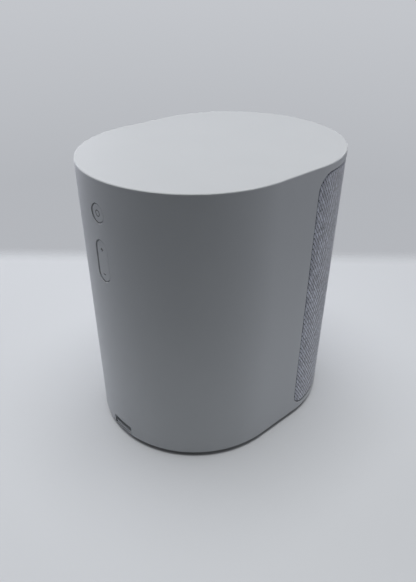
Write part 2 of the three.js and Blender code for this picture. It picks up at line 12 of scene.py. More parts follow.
import bpy
import numpy as np
from mathutils import Matrix, Vector, geometry


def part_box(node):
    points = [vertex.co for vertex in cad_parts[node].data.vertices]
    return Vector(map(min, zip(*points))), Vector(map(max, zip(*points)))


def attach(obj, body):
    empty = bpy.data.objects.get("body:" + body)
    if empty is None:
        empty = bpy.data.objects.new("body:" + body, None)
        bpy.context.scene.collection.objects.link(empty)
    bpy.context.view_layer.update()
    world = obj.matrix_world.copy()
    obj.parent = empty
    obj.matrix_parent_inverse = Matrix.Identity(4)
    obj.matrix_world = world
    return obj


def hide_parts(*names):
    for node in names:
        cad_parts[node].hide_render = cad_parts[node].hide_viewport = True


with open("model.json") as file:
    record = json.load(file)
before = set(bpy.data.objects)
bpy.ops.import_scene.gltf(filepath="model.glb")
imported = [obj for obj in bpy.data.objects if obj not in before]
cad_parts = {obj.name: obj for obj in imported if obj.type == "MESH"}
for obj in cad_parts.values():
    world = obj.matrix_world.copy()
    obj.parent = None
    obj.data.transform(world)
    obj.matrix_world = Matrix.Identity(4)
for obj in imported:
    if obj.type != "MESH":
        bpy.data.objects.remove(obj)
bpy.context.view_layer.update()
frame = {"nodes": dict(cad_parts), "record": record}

# ---------------------------------------------------------------- sizes

MM = 0.001
TINY = 1e-7
SLEEVE_LOW, SLEEVE_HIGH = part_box("housing_sleeve")
COVER_LOW, COVER_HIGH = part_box("cover_fabric")
BUTTON_LOW, BUTTON_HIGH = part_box("play_button")
ROCKER_LOW, ROCKER_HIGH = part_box("volume_rocker")
_, FOOT_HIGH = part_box("foot_ring")

RADIUS = SLEEVE_HIGH.x
OFFSET = SLEEVE_HIGH.y - RADIUS  # from the middle of the body to the middle of each round end
QUARTER = RADIUS * math.pi / 2
PERIMETER = 4 * QUARTER + 4 * OFFSET
SEAM = QUARTER + OFFSET  # the wall is unrolled from the middle of the +X side, all the way round
HEIGHT = SLEEVE_HIGH.z
WALL = 3 * MM  # thickness of the sleeve
TOP_ROUND = 0.6 * MM  # round on the sleeve's top edge

COVER_GAP = 0.4 * MM
WINDOW_CORNER = 9 * MM
BUTTON_RADIUS = 4.3 * MM
BUTTON_Z = (BUTTON_LOW.z + BUTTON_HIGH.z) / 2
ROCKER_HALF = 4.25 * MM
ROCKER_Z = (ROCKER_LOW.z + ROCKER_HIGH.z) / 2
BUTTON_GAP = 0.4 * MM  # round the button and the rocker
CAP_SUNK = 0.35 * MM  # the button and the rocker sit a little under the sleeve's face
AXLE_Y = 63.6 * MM
STEM_OFFSET = 6.45 * MM  # of the rocker's two stems above and below its middle
RING_RADIUS = 1.4 * MM
RING_HALF = 0.22 * MM  # half the width of the ring's line
SIGN_DROP = 0.5 * MM  # the plus and minus signs sit a little under the stems behind them
SIGN_HALF = 1.0 * MM
SIGN_STROKE = 0.26 * MM  # half the width of a sign's stroke
NOTCH_HALF = 7.9 * MM
NOTCH_TOP = 9 * MM
NOTCH_CORNER = 1.2 * MM
FOOT_INSET = RADIUS - FOOT_HIGH.x
FOOT_WIDTH = 6.2 * MM
FOOT_ROUND = 0.6 * MM

EDGE = 0.25 * MM  # round on moulded edges
ARC_STEPS = 12  # to a quarter turn
ROUND_STEPS = 5  # to a rounded edge
GRID = 1.5 * MM  # spacing of the points on plain walls

WARP = 0.62 * MM  # pitch of the cloth's upright threads
WEFT = 0.92 * MM  # pitch of its level threads
THREAD_RISE = 0.18 * MM
FACE_INSET = 0.15 * MM  # of the highest threads under the sleeve's face
CLOTH_TURN = 0.9 * MM  # radius of the cloth's turned edge
HEM = 1.9 * MM  # depth of the turned edge

# ---------------------------------------------------------------- camera, lights and floor

TARGET = Vector((0, 0, 44.9 * MM))
AZIMUTH = math.radians(-132.81)
ELEVATION = math.radians(34.64)
ROLL = math.radians(0.511)
DISTANCE = 329.3 * MM
LENS = 33.84
SENSOR_WIDTH = 36
SHIFT = (-0.0092, 0.0530)

FLOOR_RADIUS = 0.4
FLOOR_SIDES = 64
FLOOR_LIGHT = (0.435, 0.449, 0.465, 1)
FLOOR_DARK = (0.420, 0.433, 0.449, 1)
# painted light: the floor's emission is a glow that lifts its shadows, though the floor is no lamp
FLOOR_GLOW = (1.00, 1.03, 1.065, 1)
FLOOR_GLOW_STRENGTH = 0.20
GLOW_LEFT_IN_PAINTED_SHADOW = 0.12  # share of the painted glow that is left under the body, as painted shadow
GLOW_EDGE = 1.5 * MM
FLOOR_FADE = (0.24, 0.31)  # distances from the body's middle over which the floor fades out
FAR_FADE = (0.155, 0.185)  # and distances behind it, as the camera sees it
BACKDROP_LOW = (0.455, 0.470, 0.500, 1)
BACKDROP_HIGH = (0.545, 0.562, 0.595, 1)
BACKDROP_RISE = (-0.33, -0.08)  # from the low tone to the high one, by the direction's z
AMBIENT = (0.016, 0.018, 0.021, 1)
AMBIENT_BELOW = (0.130, 0.137, 0.150, 1)
AMBIENT_RISE = (-0.04, 0.0)  # from the tone below to the one above
LIGHT_AIM = Vector((0, 0, 0.07))
OVERHEAD = {"azimuth": 0, "elevation": 90, "reach": 0.72, "size": 0.42, "power": 4.45}
SIDE_POWERS = {-45: 1.6, 0: 1.3, 45: 1.3, 90: 4.6, 135: 1.3}  # watts by azimuth in degrees
SIDE = {"elevation": 12, "reach": 0.9, "size": 0.8, "color": (0.98, 0.99, 1.08)}


# ---------------------------------------------------------------- the unrolled wall

def wall_directions(s):
    """The wall's outward and forward directions at s."""
    s = (s + PERIMETER / 2) % PERIMETER - PERIMETER / 2
    side = -1 if s > 0 else 1
    run = abs(s)
    turn = min(run, QUARTER) + max(run - QUARTER - 2 * OFFSET, 0)
    angle = turn / RADIUS
    outward = Vector((side * math.sin(angle), math.cos(angle), 0))
    along = Vector((-math.cos(angle), side * math.sin(angle), 0))
    return outward, along


def wall_point(s, inset, z):
    """The place in space of a place on the wall."""
    s = (s + PERIMETER / 2) % PERIMETER - PERIMETER / 2
    outward, _ = wall_directions(s)
    run = abs(s)
    middle = OFFSET - min(max(run - QUARTER, 0), 2 * OFFSET)
    return outward * (RADIUS - inset) + Vector((0, middle, z))


def grown(shape, by):
    """A rounded rectangle (s0, s1, z0, z1, corner) with its edge moved out."""
    s0, s1, z0, z1, corner = shape
    return s0 - by, s1 + by, z0 - by, z1 + by, corner + by


def distance(shape, s, z):
    """How far a place is from a rounded rectangle, negative inside it."""
    s0, s1, z0, z1, corner = shape
    across = abs(s - (s0 + s1) / 2) - (s1 - s0) / 2 + corner
    up = abs(z - (z0 + z1) / 2) - (z1 - z0) / 2 + corner
    return math.hypot(max(across, 0), max(up, 0)) + min(max(across, up), 0) - corner


def away(shape, s, z):
    """The direction away from a rounded rectangle at a place on its edge."""
    s0, s1, z0, z1, corner = shape
    across = s - min(max(s, s0 + corner), s1 - corner)
    up = z - min(max(z, z0 + corner), z1 - corner)
    length = math.hypot(across, up)
    return across / length, up / length


def arc(s, z, radius, start, end):
    """Places round an arc, each with the direction away from its middle, in quarter turns."""
    steps = max(1, round(abs(end - start) * ARC_STEPS))
    found = []
    for k in range(steps + 1):
        angle = (start + (end - start) * k / steps) * math.pi / 2
        c, v = math.cos(angle), math.sin(angle)
        found.append((s + radius * c, z + radius * v, c, v))
    return found


def joined(loop, step):
    """The loop with its long straight runs divided and its repeated places dropped."""
    found = []
    for place, after in zip(loop, loop[1:] + loop[:1]):
        length = math.hypot(after[0] - place[0], after[1] - place[1])
        if length < TINY:
            continue
        found.append(place)
        if place[2:] == after[2:] or length > 2 * step:
            count = math.ceil(length / step)
            for k in range(1, count):
                t = k / count
                found.append((place[0] + (after[0] - place[0]) * t,
                              place[1] + (after[1] - place[1]) * t, *run_direction(place, after)))
    return found


def run_direction(place, after):
    """The direction across a straight run, on the side that its two ends point to."""
    ds, dz = after[0] - place[0], after[1] - place[1]
    length = math.hypot(ds, dz)
    across, up = dz / length, -ds / length
    side = 1 if across * (place[2] + after[2]) + up * (place[3] + after[3]) > 0 else -1
    return across * side, up * side


def outline(shape, step=GRID):
    """Places round a rounded rectangle, with the directions away from it."""
    s0, s1, z0, z1, corner = shape
    loop = arc(s1 - corner, z1 - corner, corner, 0, 1)
    loop += arc(s0 + corner, z1 - corner, corner, 1, 2)
    loop += arc(s0 + corner, z0 + corner, corner, 2, 3)
    loop += arc(s1 - corner, z0 + corner, corner, 3, 4)
    return joined(loop, step)


def steps_between(start, end, step):
    count = math.ceil((end - start) / step)
    return [start + (end - start) * k / count for k in range(count + 1)]


# ---------------------------------------------------------------- solids

class Solid:
    """Shared points, and faces whose corners are (point, normal) pairs. Each point keeps its
    place on the wall, (s, z), and its depth under it."""

    def __init__(self):
        self.points = []
        self.faces = []
        self.places = []
        self.depths = []

    def corner(self, s, inset, z, normal):
        self.points.append(wall_point(s, inset, z))
        self.places.append((s, z))
        self.depths.append(inset)
        return len(self.points) - 1, normal

    def free_corner(self, point, normal):
        self.points.append(Vector(point))
        self.places.append((0, 0))
        self.depths.append(0)
        return len(self.points) - 1, normal

    def tilted(self, s, inset, z, across, up, tilt):
        """A corner that faces out of the wall at tilt 0, and along (across, up) at 90 degrees."""
        outward, along = wall_directions(s)
        side = along * across + Vector((0, 0, up))
        return self.corner(s, inset, z, outward * math.cos(tilt) + side * math.sin(tilt))

    def face(self, corners):
        """Adds a face and winds it so that it faces the way that its corners do."""
        kept = [c for k, c in enumerate(corners) if c[0] != corners[k - 1][0]]
        if len(kept) < 3:
            return
        facing = sum((c[1] for c in kept), Vector())
        turn = geometry.normal([self.points[c[0]] for c in kept])
        if turn.dot(facing) < 0:
            kept.reverse()
        self.faces.append(kept)

    def strip(self, first, second, closed=True):
        count = len(first) if closed else len(first) - 1
        for k in range(count):
            after = (k + 1) % len(first)
            self.face([first[k], first[after], second[after], second[k]])

    def facing(self, ring, normal):
        """The same points with another normal, for a sharp edge."""
        return [(index, normal) for index, _ in ring]

    def build(self, name, material, body, slot, *nodes):
        mesh = bpy.data.meshes.new(name)
        mesh.from_pydata(self.points, [], [[c[0] for c in face] for face in self.faces])
        mesh.polygons.foreach_set("use_smooth", [True] * len(mesh.polygons))
        mesh.normals_split_custom_set([c[1].normalized() for face in self.faces for c in face])
        wall_place = mesh.attributes.new("wall_place", "FLOAT_VECTOR", "POINT")
        places = np.column_stack((self.places, self.depths)).astype(np.float32)
        wall_place.data.foreach_set("vector", places.ravel())
        mesh.materials.append(material)
        piece = bpy.data.objects.new(name, mesh)
        bpy.context.scene.collection.objects.link(piece)
        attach(piece, body)
        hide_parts(*nodes)
        return piece


def panel(solid, sign, inset, edge, holes, left_out, step):
    """Fills the wall at one inset between its edge and its holes, which are lists of
    (s, z, corner), with a grid of points between them."""
    coords = []
    corners = []
    edges = []
    for loop in [edge, *holes]:
        first = len(coords)
        for s, z, corner in loop:
            coords.append(Vector((s, z)) / MM)
            corners.append(corner)
        edges += [(first + k, first + (k + 1) % len(loop)) for k in range(len(loop))]
    s_values, z_values = [p[0] for p in edge], [p[1] for p in edge]
    clear = 0.6 * step
    for s in steps_between(min(s_values), max(s_values), step)[1:-1]:
        for z in steps_between(min(z_values), max(z_values), 3 * step)[1:-1]:
            if all(distance(shape, s, z) > clear for shape in left_out):
                coords.append(Vector((s, z)) / MM)
                corners.append(solid.corner(s, inset, z, None))
    found = geometry.delaunay_2d_cdt(coords, edges, [], 0, 1e-6)
    places, triangles, origins = found[0], found[2], found[3]
    for triangle in triangles:
        middle = sum((places[k] for k in triangle), Vector((0, 0))) / 3 * MM
        if any(distance(shape, *middle) < 0 for shape in left_out):
            continue
        face = []
        for k in triangle:
            outward, _ = wall_directions(places[k].x * MM)
            face.append((corners[origins[k][0]][0], outward * sign))
        solid.face(face)


def rim(solid, loop, depth, edge=EDGE):
    """Rounds the wall's outer edge along a loop whose directions point into the wall, and
    lines the cut as far as depth. Returns the rings on the outer face and at depth."""
    rings = []
    for k in range(ROUND_STEPS + 1):
        angle = k / ROUND_STEPS * math.pi / 2
        out, inset = edge * (1 - math.sin(angle)), edge * (1 - math.cos(angle))
        rings.append([
            solid.tilted(s + ds * out, inset, z + dz * out, -ds, -dz, angle)
            for s, z, ds, dz in loop
        ])
    rings.append([solid.tilted(s, depth, z, -ds, -dz, math.pi / 2) for s, z, ds, dz in loop])
    for first, second in zip(rings, rings[1:]):
        solid.strip(first, second)
    return rings[0], rings[-1]


def placed(solid, ring):
    """A ring as the (s, z, corner) list that panel takes."""
    return [(*solid.places[corner[0]], corner) for corner in ring]


def pad(solid, shape, profile):
    """Rings of a shape's outline, each grown, sunk and tilted as the profile says, and filled
    at both ends. Entries that differ only in tilt make a sharp edge."""
    before = None
    ring = None
    for grow, inset, tilt in profile:
        loop = outline(shape)
        angle = math.radians(tilt)
        if before is not None and before[:2] == (grow, inset):
            again = [solid.tilted(0, 0, 0, ds, dz, angle)[1] for _, _, ds, dz in loop]
            ring = [(index, again[k]) for k, (index, _) in enumerate(ring)]
            for listed in (solid.points, solid.places, solid.depths):
                del listed[-len(loop):]
        else:
            after = [
                solid.tilted(s + ds * grow, inset, z + dz * grow, ds, dz, angle)
                for s, z, ds, dz in loop
            ]
            if ring is None:
                solid.face(after)
            else:
                solid.strip(ring, after)
            ring = after
        before = (grow, inset, tilt)
    solid.face(ring)


def rod(solid, start, end, radius, sides=20):
    """A plain round rod inside a piece."""
    start, end = Vector(start), Vector(end)
    axis = (end - start).normalized()
    first = axis.orthogonal().normalized()
    second = axis.cross(first)
    rings = []
    for point in (start, end):
        ring = []
        for k in range(sides):
            angle = 2 * math.pi * k / sides
            spoke = first * math.cos(angle) + second * math.sin(angle)
            ring.append(solid.free_corner(point + spoke * radius, spoke))
        rings.append(ring)
    solid.strip(*rings)
    solid.face(solid.facing(rings[0], -axis))
    solid.face(solid.facing(rings[1], axis))


# ---------------------------------------------------------------- material nodes

class Look:
    """A material whose nodes are added by short calls. Points are in metres, in the frame.
    A node's inputs are given by name, or as i0, i1 and so on by number."""

    def __init__(self, name):
        self.material = bpy.data.materials.new(name)
        self.material.use_nodes = True
        self.tree = self.material.node_tree
        self.shader = self.tree.nodes["Principled BSDF"]
        self.place = self.node("ShaderNodeTexCoord").outputs["Object"]

    def node(self, kind, settings=(), **inputs):
        made = self.tree.nodes.new(kind)
        for key, value in dict(settings).items():
            setattr(made, key, value)
        for key, value in inputs.items():
            numbered = key[0] == "i" and key[1:].isdigit()
            self.put(made.inputs[int(key[1:]) if numbered else key], value)
        return made

    def put(self, socket, value):
        if isinstance(value, bpy.types.NodeSocket):
            self.tree.links.new(value, socket)
        else:
            socket.default_value = value

    def math(self, operation, first, second=0.0, third=0.0):
        made = self.node("ShaderNodeMath", {"operation": operation}, i0=first, i1=second, i2=third)
        return made.outputs[0]

    def noise(self, scale, detail=2.0, stretch=(1, 1, 1), place=None):
        moved = self.node("ShaderNodeMapping", i0=place or self.place, i3=stretch)
        made = self.node("ShaderNodeTexNoise", Vector=moved.outputs[0], Scale=scale, Detail=detail)
        return made.outputs["Fac"]

    def cells(self, scale):
        made = self.node("ShaderNodeTexVoronoi", Vector=self.place, Scale=scale)
        return made.outputs["Distance"]

    def bands(self, scale, direction, distortion=0.0):
        settings = {"wave_type": "BANDS", "bands_direction": direction}
        made = self.node("ShaderNodeTexWave", settings, Vector=self.place, Scale=scale,
                         Distortion=distortion)
        return made.outputs["Fac"]

    def between(self, value, low, high):
        """A value from 0 to 1 mapped to the range from low to high."""
        made = self.node("ShaderNodeMapRange", Value=value)
        made.inputs["To Min"].default_value = low
        made.inputs["To Max"].default_value = high
        return made.outputs[0]

    def step(self, value, low, high):
        """0 below low, 1 above high, and smooth between them."""
        made = self.node("ShaderNodeMapRange", {"interpolation_type": "SMOOTHSTEP"}, Value=value)
        made.inputs["From Min"].default_value = low
        made.inputs["From Max"].default_value = high
        return made.outputs[0]

    def blend(self, factor, first, second):
        made = self.node("ShaderNodeMix", {"data_type": "RGBA"}, Factor=factor)
        self.put(made.inputs[6], first)
        self.put(made.inputs[7], second)
        return made.outputs[2]

    def bump(self, height, depth, strength=1.0, over=None):
        made = self.node("ShaderNodeBump", Height=height, Distance=depth, Strength=strength)
        if over is not None:
            self.put(made.inputs["Normal"], over)
        return made.outputs[0]

    def finish(self, color=None, roughness=None, normal=None, **constants):
        for name, value in (("Base Color", color), ("Roughness", roughness), ("Normal", normal)):
            if value is not None:
                self.put(self.shader.inputs[name], value)
        for name, value in constants.items():
            self.shader.inputs[name.replace("_", " ")].default_value = value
        return self.material


def grey(value, blue=0.0):
    """A nearly neutral colour, a little towards blue."""
    return value * (1 - blue), value, value * (1 + blue), 1.0


# ---------------------------------------------------------------- materials

SLEEVE_LIGHT = (0.486, 0.503, 0.517, 1)
SLEEVE_DARK = (0.462, 0.480, 0.494, 1)
SLEEVE_ROUGHNESS = 0.52
MARK = grey(0.045, 0.04)
MOTTLE_SCALE = 38
GRAIN_SCALE = 5200
GRAIN_DEPTH = 0.012 * MM
SHINE_SCALE = 1500  # of the patches where the plastic is duller or shinier
SHINE_SPREAD = 0.05


def moulded(name, light, dark, roughness, grain=GRAIN_DEPTH):
    """Injection-moulded plastic: a fine spark-eroded grain and faint flow mottling."""
    look = Look(name)
    color = look.blend(look.noise(MOTTLE_SCALE, 3), dark, light)
    rough = look.between(look.noise(SHINE_SCALE, 1), roughness - SHINE_SPREAD,
                         roughness + SHINE_SPREAD)
    waves = look.bump(look.noise(160, 2), 0.02 * MM, 0.25)
    return look.finish(color, rough, look.bump(look.noise(GRAIN_SCALE, 2), grain, 0.6, waves))


def sleeve_plastic():
    return moulded("sleeve_plastic", SLEEVE_LIGHT, SLEEVE_DARK, SLEEVE_ROUGHNESS)


def marked_plastic(name, mark):
    """The sleeve's plastic with a sunk, dark-filled mark, where mark(look) is 1."""
    look = Look(name)
    body = look.blend(look.noise(MOTTLE_SCALE, 3), SLEEVE_DARK, SLEEVE_LIGHT)
    drawn = mark(look)
    color = look.blend(drawn, body, MARK)
    rough = look.between(look.noise(SHINE_SCALE, 1), SLEEVE_ROUGHNESS - SHINE_SPREAD,
                         SLEEVE_ROUGHNESS + SHINE_SPREAD)
    grain = look.bump(look.noise(GRAIN_SCALE, 2), GRAIN_DEPTH, 0.6)
    sunk = look.math("SUBTRACT", 1.0, drawn)
    return look.finish(color, rough, look.bump(sunk, 0.08 * MM, 0.7, grain))


def ring_mark(look):
    """A thin ring in the middle of the round button."""
    place = look.node("ShaderNodeSeparateXYZ", Vector=look.place)
    x, z = place.outputs[0], look.math("SUBTRACT", place.outputs[2], BUTTON_Z)
    radius = look.math("SQRT", look.math("ADD", look.math("MULTIPLY", x, x),
                                         look.math("MULTIPLY", z, z)))
    off = look.math("ABSOLUTE", look.math("SUBTRACT", radius, RING_RADIUS))
    return look.math("SUBTRACT", 1.0, look.step(off, RING_HALF * 0.8, RING_HALF * 1.2))


def bar(look, along, across, length, width):
    """1 inside a bar with the given half sizes."""
    in_length = look.math("LESS_THAN", look.math("ABSOLUTE", along), length)
    in_width = look.math("LESS_THAN", look.math("ABSOLUTE", across), width)
    return look.math("MULTIPLY", in_length, in_width)


def plus_minus_mark(look):
    """A plus near the rocker's top and a minus near its foot."""
    place = look.node("ShaderNodeSeparateXYZ", Vector=look.place)
    x, z = place.outputs[0], place.outputs[2]
    up = look.math("SUBTRACT", z, ROCKER_Z - SIGN_DROP + STEM_OFFSET)
    down = look.math("SUBTRACT", z, ROCKER_Z - SIGN_DROP - STEM_OFFSET)
    signs = [bar(look, x, up, SIGN_HALF, SIGN_STROKE), bar(look, up, x, SIGN_HALF, SIGN_STROKE),
             bar(look, x, down, SIGN_HALF, SIGN_STROKE)]
    return look.math("MAXIMUM", look.math("MAXIMUM", signs[0], signs[1]), signs[2])


WARP_LIGHT = (0.84, 0.87, 0.97, 1)
WARP_DARK = (0.20, 0.21, 0.27, 1)
# painted shade on the upright threads' edges, in the gaps between threads
WARP_SIDE_SHADE = (0.29, 0.31, 0.38, 1)
WEFT_LIGHT = (0.36, 0.38, 0.45, 1)
WEFT_DARK = (0.008, 0.008, 0.012, 1)
GAP_SHADE_START = FACE_INSET + THREAD_RISE + 0.05 * MM  # depth at which the painted shade of the turned edge begins
GAP_SHADE_FADE = 0.5 * MM


def random_tone(look, first, second):
    """A steady random value for each pair of whole numbers."""
    cell = look.node("ShaderNodeCombineXYZ", X=first, Y=second)
    tone = look.node("ShaderNodeTexWhiteNoise", {"noise_dimensions": "2D"}, Vector=cell.outputs[0])
    return tone.outputs["Value"]


def crown(look, pitches):
    """Height across a thread, from its place in pitches: 1 on its middle and 0 at its edges."""
    off_middle = look.math("SUBTRACT", look.math("FRACT", pitches), 0.5)
    return look.math("COSINE", look.math("MULTIPLY", off_middle, math.pi))


def woven_cloth():
    """Melange twill: each thread keeps its own tone; the threads' edges and the gaps between them
    carry painted shade, and so does the turned edge.
    """
    look = Look("woven_cloth")
    wall = look.node("ShaderNodeAttribute", {"attribute_name": "wall_place"}).outputs["Vector"]
    place = look.node("ShaderNodeSeparateXYZ", Vector=wall)
    across = look.math("DIVIDE", place.outputs[0], WARP)
    up = look.math("DIVIDE", place.outputs[1], WEFT)
    column, row = look.math("FLOOR", across), look.math("FLOOR", up)
    warp_crown, weft_crown = crown(look, across), crown(look, up)
    diagonal = look.math("ADD", column, row)
    level_over = look.math("LESS_THAN", look.math("MODULO", diagonal, 3.0), 0.5)
    height = look.node("ShaderNodeMix", Factor=level_over, i2=warp_crown, i3=weft_crown).outputs[0]

    float_number = look.math("FLOOR", look.math("DIVIDE", diagonal, 3.0))
    warp_tone = random_tone(look, column, float_number)
    weft_tone = random_tone(look, row, float_number)
    fibre = look.step(look.noise(900, 3, place=wall), 0.3, 0.7)
    melange = look.math("ADD", look.math("MULTIPLY", warp_tone, 0.8),
                        look.math("MULTIPLY", fibre, 0.2))
    # painted shade: an upright thread darkens to WARP_SIDE_SHADE towards its edges
    warp = look.blend(look.step(warp_crown, 0.0, 0.5), WARP_SIDE_SHADE,
                      look.blend(melange, WARP_DARK, WARP_LIGHT))
    weft = look.blend(look.math("POWER", weft_tone, 2.2), WEFT_DARK, WEFT_LIGHT)
    shown = look.step(look.math("MULTIPLY", warp_crown, weft_crown), 0.02, 0.22)
    face = look.blend(look.math("MULTIPLY", level_over, shown), warp, weft)
    # painted shade: the cloth darkens to the weft's darkest colour where it turns in under the
    # window's edge
    edge_shade = look.step(place.outputs[2], GAP_SHADE_START, GAP_SHADE_START + GAP_SHADE_FADE)
    fuzz = look.bump(look.noise(6000, 2, place=wall), 0.02 * MM, 0.6)
    normal = look.bump(height, 0.1 * MM, 0.8, fuzz)
    return look.finish(look.blend(edge_shade, face, WEFT_DARK), 0.92, normal, Sheen_Weight=1.0,
                       Sheen_Roughness=0.45, Specular_IOR_Level=0.2)


def rubber(name, value, roughness=0.8):
    look = Look(name)
    color = look.blend(look.noise(900, 3), grey(value * 0.8), grey(value * 1.3))
    normal = look.bump(look.noise(3500, 3), 0.02 * MM, 0.7)
    return look.finish(color, look.between(look.noise(300), roughness - 0.08, roughness + 0.05),
                       normal)


def plated(name, light, dark, roughness, stretch):
    """Bright metal with rolling or turning marks stretched along one direction."""
    look = Look(name)
    streak = look.noise(900, 4, stretch)
    color = look.blend(streak, dark, light)
    rough = look.between(streak, roughness - 0.08, roughness + 0.12)
    return look.finish(color, rough, look.bump(streak, 0.01 * MM, 0.5), Metallic=1.0)


def ferrite():
    look = Look("ferrite")
    speckle = look.noise(2500, 4)
    color = look.blend(look.step(speckle, 0.45, 0.62), grey(0.02), grey(0.06))
    return look.finish(color, look.between(speckle, 0.5, 0.8),
                       look.bump(look.noise(1200, 3), 0.03 * MM, 0.6))


def stiffened_cloth(name, light, dark, pitch):
    """Resin-stiffened cloth with a plain weave."""
    look = Look(name)
    weave = look.math("MULTIPLY", look.bands(0.05 / pitch, "X"), look.bands(0.05 / pitch, "Z"))
    color = look.blend(weave, dark, light)
    return look.finish(color, 0.85, look.bump(weave, 0.05 * MM, 0.8))


def pressed_paper():
    look = Look("pressed_paper")
    fibre = look.noise(1800, 5, (1, 4, 1))
    color = look.blend(fibre, grey(0.012), grey(0.045))
    return look.finish(color, look.between(fibre, 0.7, 0.95), look.bump(fibre, 0.05 * MM, 0.7))


def enamelled_wire():
    look = Look("enamelled_wire")
    turns = look.bands(160, "Y", 0.3)
    color = look.blend(turns, (0.20, 0.07, 0.025, 1), (0.62, 0.27, 0.11, 1))
    return look.finish(color, look.between(turns, 0.45, 0.25), look.bump(turns, 0.1 * MM, 0.8),
                       Metallic=0.85)


def circuit_board():
    """Solder mask over copper, which shows as paler tracks, with pale round pads."""
    look = Look("circuit_board")
    tracks = look.math("MULTIPLY", look.step(look.bands(55, "X", 6.0), 0.72, 0.8),
                       look.step(look.noise(180, 1), 0.4, 0.5))
    pads = look.math("LESS_THAN", look.cells(420), 0.22)
    mask = look.blend(tracks, (0.008, 0.060, 0.030, 1), (0.018, 0.120, 0.060, 1))
    color = look.blend(pads, mask, (0.55, 0.56, 0.57, 1))
    relief = look.math("ADD", tracks, pads)
    return look.finish(color, look.between(look.noise(500), 0.25, 0.42),
                       look.bump(relief, 0.04 * MM, 0.7), Coat_Weight=0.3)


def film_sleeve():
    """Shrink-wrapped film, blank, over an aluminium can."""
    look = Look("film_sleeve")
    wrinkle = look.noise(400, 2, (1, 1, 0.3))
    color = look.blend(wrinkle, (0.012, 0.018, 0.045, 1), (0.022, 0.032, 0.075, 1))
    return look.finish(color, look.between(wrinkle, 0.22, 0.4), look.bump(wrinkle, 0.03 * MM, 0.5))


def wound_tape():
    look = Look("wound_tape")
    layers = look.bands(90, "Z", 0.4)
    color = look.blend(layers, (0.42, 0.26, 0.03, 1), (0.66, 0.45, 0.07, 1))
    return look.finish(color, look.between(look.noise(200), 0.35, 0.5),
                       look.bump(layers, 0.05 * MM, 0.6))


def blank_label():
    look = Look("blank_label")
    edge = look.noise(260, 2)
    color = look.blend(edge, grey(0.60, 0.01), grey(0.66, 0.01))
    return look.finish(color, look.between(edge, 0.3, 0.4), look.bump(look.noise(2600), 0.01 * MM))


def pale_floor():
    """A matt floor with a painted glow, an emission that lifts its shadows though the floor is no
    lamp, cut down to a painted shadow under the body, that fades out into the backdrop."""
    look = Look("pale_floor")
    color = look.blend(look.noise(3, 2), FLOOR_DARK, FLOOR_LIGHT)
    reach = look.node("ShaderNodeVectorMath", {"operation": "LENGTH"}, i0=look.place)
    beyond = look.node("ShaderNodeVectorMath", {"operation": "DOT_PRODUCT"}, i0=look.place,
                       i1=(-math.sin(AZIMUTH), math.cos(AZIMUTH), 0))
    faded = look.math("MAXIMUM", look.step(reach.outputs["Value"], *FLOOR_FADE),
                      look.step(beyond.outputs["Value"], *FAR_FADE))
    look.put(look.shader.inputs["Alpha"], look.math("SUBTRACT", 1.0, faded))

    # painted shadow: the glow is cut down inside the body's outline, over GLOW_EDGE
    place = look.node("ShaderNodeSeparateXYZ", Vector=look.place)
    ahead = look.math("SUBTRACT", look.math("ABSOLUTE", place.outputs[1]), OFFSET)
    corner = look.node("ShaderNodeCombineXYZ", X=place.outputs[0],
                       Y=look.math("MAXIMUM", ahead, 0.0))
    out = look.node("ShaderNodeVectorMath", {"operation": "LENGTH"}, i0=corner.outputs[0])
    glow = look.between(look.step(out.outputs["Value"], RADIUS - GLOW_EDGE, RADIUS),
                        GLOW_LEFT_IN_PAINTED_SHADOW * FLOOR_GLOW_STRENGTH, FLOOR_GLOW_STRENGTH)
    look.put(look.shader.inputs["Emission Strength"], glow)
    return look.finish(color, 0.8, look.bump(look.noise(900, 2), 0.02 * MM, 0.2),
                       Emission_Color=FLOOR_GLOW)


def materials_by_slot():
    return {
        "sleeve": sleeve_plastic(),
        "button": marked_plastic("button_plastic", ring_mark),
        "base": moulded("base_plastic", grey(0.56, 0.02), grey(0.53, 0.02), 0.5),
        "inner_plastic": moulded("inner_plastic", grey(0.05), grey(0.035), 0.55, 0.03 * MM),
        "cover_fabric": woven_cloth(),
        "foot": rubber("foot_rubber", 0.07),
        "seal": rubber("seal_rubber", 0.02, 0.7),
        "label": blank_label(),
        "screw": plated("zinc_plate", grey(0.55, 0.02), grey(0.40, 0.01), 0.35, (1, 1, 1)),
        "driver_steel": plated("pressed_steel", grey(0.42), grey(0.30), 0.38, (3, 1, 1)),
        "ferrite": ferrite(),
        "spider_cloth": stiffened_cloth("spider_cloth", (0.62, 0.36, 0.12, 1),
                                        (0.30, 0.15, 0.04, 1), 0.5 * MM),
        "cone": pressed_paper(),
        "dome_silk": stiffened_cloth("dome_silk", grey(0.05), grey(0.015), 0.25 * MM),
        "copper": enamelled_wire(),
        "board": circuit_board(),
        "tin": plated("tin_plate", grey(0.70, 0.01), grey(0.58, 0.01), 0.3, (1, 1, 4)),
        "heat_sink": plated("extruded_aluminium", grey(0.72, 0.01), grey(0.60, 0.01), 0.4,
                            (4, 4, 0.1)),
        "capacitor": film_sleeve(),
        "transformer": wound_tape(),
        "inlet": moulded("inlet_plastic", grey(0.022), grey(0.014), 0.35, 0.008 * MM),
        "wire": rubber("wire_insulation", 0.025, 0.5),
    }


# ---------------------------------------------------------------- studio

def direction_to(azimuth, elevation):
    """The direction from the body towards an azimuth, with 0 at the front and a quarter turn
    at +X, and an elevation."""
    return Vector((math.sin(azimuth) * math.cos(elevation),
                   -math.cos(azimuth) * math.cos(elevation), math.sin(elevation)))


